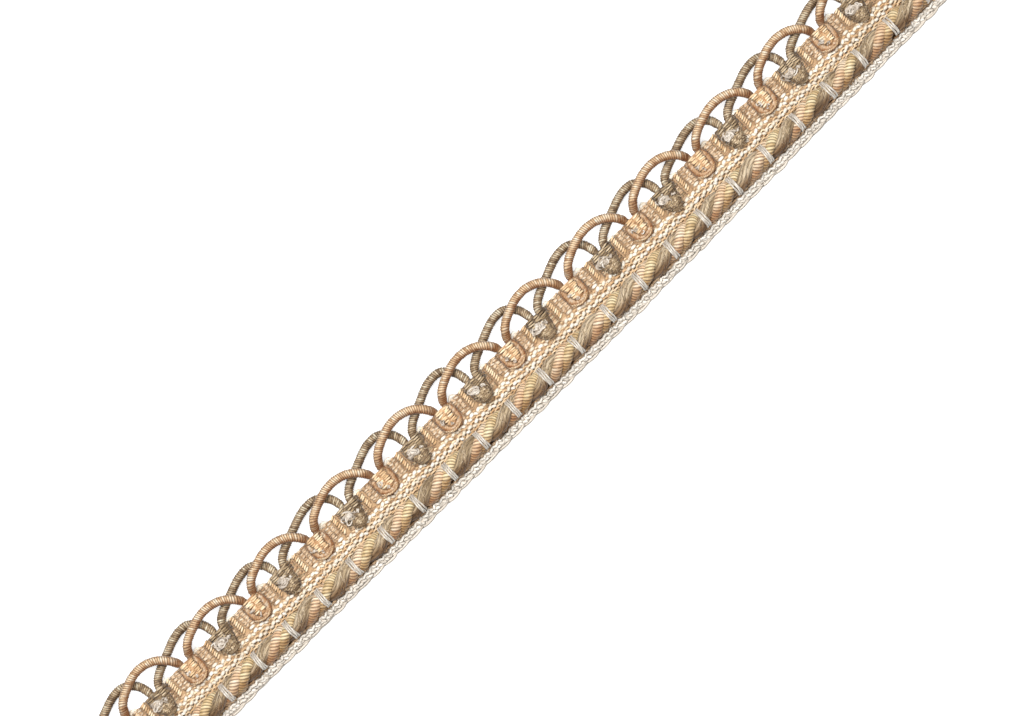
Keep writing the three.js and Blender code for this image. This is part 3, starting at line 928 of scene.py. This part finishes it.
def make_tape():
    cloth = add_piece("tape_cloth", [cloth_part()], CLOTH, ["ground_tape"])
    made = heading_parts()
    row_parts(made)
    back_parts(made)
    materials = {
        "gold": GOLD_THREAD, "brown": BROWN_THREAD, "cream": CREAM_THREAD,
        "tan": TAN_THREAD, "taupe": TAUPE_THREAD,
    }
    threads = [
        add_piece(f"tape_{colour}_threads", parts, materials[colour])
        for colour, parts in made.items()
    ]
    threads.append(add_piece("heading_bumps", [edge_bump_part()], CREAM_THREAD))


def make_loops():
    add_piece("taupe_cord", [cord_part(BACK, BACK_FEET, 3)], TAUPE_CORD, ["back_loops"])
    add_piece("gold_cord", [cord_part(FRONT, FRONT_FEET, 4)], GOLD_CORD, ["front_loops"])
    top = FOOT_Z + SEWN_RADIUS
    under = [
        dash_part(
            FRONT_FEET, columns=(0.1,), rows=np.arange(6.5, 0.8, -0.42), length=5.4,
            radius=0.36, z=top, narrowing=0.06,
        ),
        dash_part(
            FRONT_FEET, columns=(0.1,), rows=np.arange(4.5, 0.6, -0.42), length=4.0,
            radius=0.36, z=top - 0.5, narrowing=0.02,
        ),
    ]
    add_piece("foot_threads", under, LEG_THREAD)
    gold = [
        dash_part(
            FRONT_FEET, columns=(-1.25, 1.4), rows=np.arange(6.55, 1.3, -0.66), length=3.0,
            radius=0.3, z=top + 0.4, narrowing=0.05,
        ),
        turn_part(FRONT_FEET),
    ]
    add_piece("gold_bindings", gold, GOLD_THREAD, nodes_named("front_binding_"))
    dull = [
        wrap_part(BACK, BACK_FEET, np.arange(6.6, 3.6, -0.5), 0.28, lift=0.1, margin=1.5),
        wrap_part(BACK, BACK_FEET, np.arange(4.1, -2.1, -0.42), 0.25, margin=1.2),
    ]
    add_piece("taupe_bags", dull, BAG_THREAD)
    taupe = [
        dash_part(
            BACK_FEET, columns=(-2.0, 0.5, 2.4), rows=np.arange(6.5, 4.1, -0.74), length=2.6,
            radius=0.26, z=top + 0.75,
        ),
        dash_part(
            BACK_FEET, columns=(-1.5, -0.3, 1.1), rows=np.arange(2.1, -0.6, -0.62), length=1.5,
            radius=0.27, z=top + 0.3, narrowing=0.16,
        ),
    ]
    add_piece("taupe_bindings", taupe, TAUPE_THREAD, nodes_named("back_binding_"))
    knots = [
        knot_part(BACK_FEET, -1.5, 3.3, top + 0.7, size=1.6, strands=28, radius=0.23),
        knot_part(BACK_FEET, 1.6, 2.8, top + 0.65, size=0.6, strands=6, radius=0.22),
        knot_part(FRONT_FEET, -1.9, 3.3, top + 0.7, size=0.8, strands=5, radius=0.22),
        knot_part(FRONT_FEET, -0.5, 1.1, top + 0.6, size=0.6, strands=4, radius=0.2),
    ]
    add_piece("white_tufts", knots, TUFT_YARN)


def make_rope():
    crepe = Wrap(0.9, -3, 0.42, 11)
    for name, on_top, material in (
        ("peach_ply", PEACH_ON_TOP, PEACH_PLY), ("green_ply", GREEN_ON_TOP, GREEN_PLY),
    ):
        ply = ply_part(on_top, CREPE_OFFSET, CREPE_RADIUS, step=0.24, sides=14, wrap=crepe)
        add_piece(name, [ply], material, ["rope"])
    strands = Wrap(6.0, 10, 0.15, 12)
    taupe = ply_part(TAUPE_ON_TOP, TAUPE_OFFSET, TAUPE_RADIUS, step=0.6, sides=30, wrap=strands)
    add_piece("taupe_ply", [taupe], TAUPE_PLY, ["rope"])
    add_piece("taupe_ply_fibres", [ply_fibres()], PLY_FIBRE)
    add_piece("stitch_threads", [stitch_part()], WHITE_THREAD, nodes_named("stitch_"))


def make_edge():
    add_piece("edge_links", chain_parts(), WHITE_YARN, ["edge_chain"])


def make_fuzz():
    bags = [(foot + 0.1, 1.2) for foot in BACK_FEET]
    fuzz = fuzz_part(800, bags, (1.35, 1.0), low_z=3.5, high_z=4.0, size=0.75, radius=0.13)
    add_piece("taupe_fuzz", [fuzz], TAUPE_THREAD)
    tips = [(foot, -1.4) for foot in BACK_FEET]
    dull = [
        fuzz_part(900, bags, (1.5, 1.2), low_z=3.5, high_z=4.0, size=0.7, radius=0.12),
        fuzz_part(400, tips, (0.8, 0.45), low_z=1.8, high_z=3.2, size=0.7, radius=0.11),
    ]
    add_piece("bag_fuzz", dull, BAG_THREAD)
    edge = [(foot + offset, 7.2) for foot in BACK_FEET for offset in (4.2, 5.4)]
    edge += [(foot + 5.0, 7.3) for foot in FRONT_FEET]
    fuzz = fuzz_part(300, edge, (0.8, 0.4), low_z=1.2, high_z=2.4, size=0.8, radius=0.05)
    add_piece("cream_fuzz", [fuzz], CREAM_THREAD)


def plain_material(name, colour, roughness, glow):
    """One colour all over, which also gives off light of that colour."""
    material = bpy.data.materials.new(name)
    material.use_nodes = True
    shader = material.node_tree.nodes["Principled BSDF"]
    shader.inputs["Base Color"].default_value = colour
    shader.inputs["Roughness"].default_value = roughness
    shader.inputs["Emission Color"].default_value = colour
    shader.inputs["Emission Strength"].default_value = glow
    return material


def make_floor():
    """The white ground that the trim lies on."""
    size = 4.0
    mesh = bpy.data.meshes.new("floor")
    corners = [(-size, -size, 0), (size, -size, 0), (size, size, 0), (-size, size, 0)]
    mesh.from_pydata(corners, [], [(0, 1, 2, 3)])
    floor = bpy.data.objects.new("floor", mesh)
    floor.location.z = -0.0002
    bpy.context.scene.collection.objects.link(floor)
    mesh.materials.append(plain_material("floor", (0.5, 0.5, 0.5, 1), 0.9, glow=1.7))
    floor.visible_diffuse = False


def add_light(name, place, size, power):
    """A soft square light that faces the trim's middle."""
    light = bpy.data.lights.new(name, "AREA")
    light.shape = "SQUARE"
    light.size = size
    light.energy = power
    lamp = bpy.data.objects.new(name, light)
    lamp.location = place
    lamp.rotation_euler = (-Vector(place)).to_track_quat("-Z", "Y").to_euler()
    bpy.context.scene.collection.objects.link(lamp)


def light_scene():
    scene = bpy.context.scene
    scene.world = bpy.data.worlds.new("studio")
    scene.world.use_nodes = True
    background = scene.world.node_tree.nodes["Background"]
    background.inputs["Color"].default_value = (1, 1, 1, 1)
    background.inputs["Strength"].default_value = 0.26
    scene.view_settings.view_transform = "Standard"
    add_light("key", (-0.05, 0.42, 1.0), 0.45, 13)
    add_light("fill", (0.1, -0.6, 0.95), 0.6, 5)


def aim_camera():
    """Straight down on the trim, which runs up to the right across the picture."""
    distance = 1.1
    seen_width = 0.3196
    middle = (0.00054, 0.00104)
    lean = math.radians(45.05)
    camera = bpy.data.cameras.new("camera")
    camera.sensor_width = 36
    camera.lens = camera.sensor_width * distance / seen_width
    camera.clip_start = 0.01
    holder = bpy.data.objects.new("camera", camera)
    bpy.context.scene.collection.objects.link(holder)
    right = Vector((math.cos(lean), -math.sin(lean), 0))
    up = Vector((math.sin(lean), math.cos(lean), 0))
    turned = Matrix((right, up, Vector((0, 0, 1)))).transposed().to_4x4()
    holder.matrix_world = Matrix.Translation((middle[0], middle[1], distance)) @ turned
    bpy.context.scene.camera = holder


aim_camera()
light_scene()
make_floor()
make_tape()
make_loops()
make_rope()
make_edge()
make_fuzz()
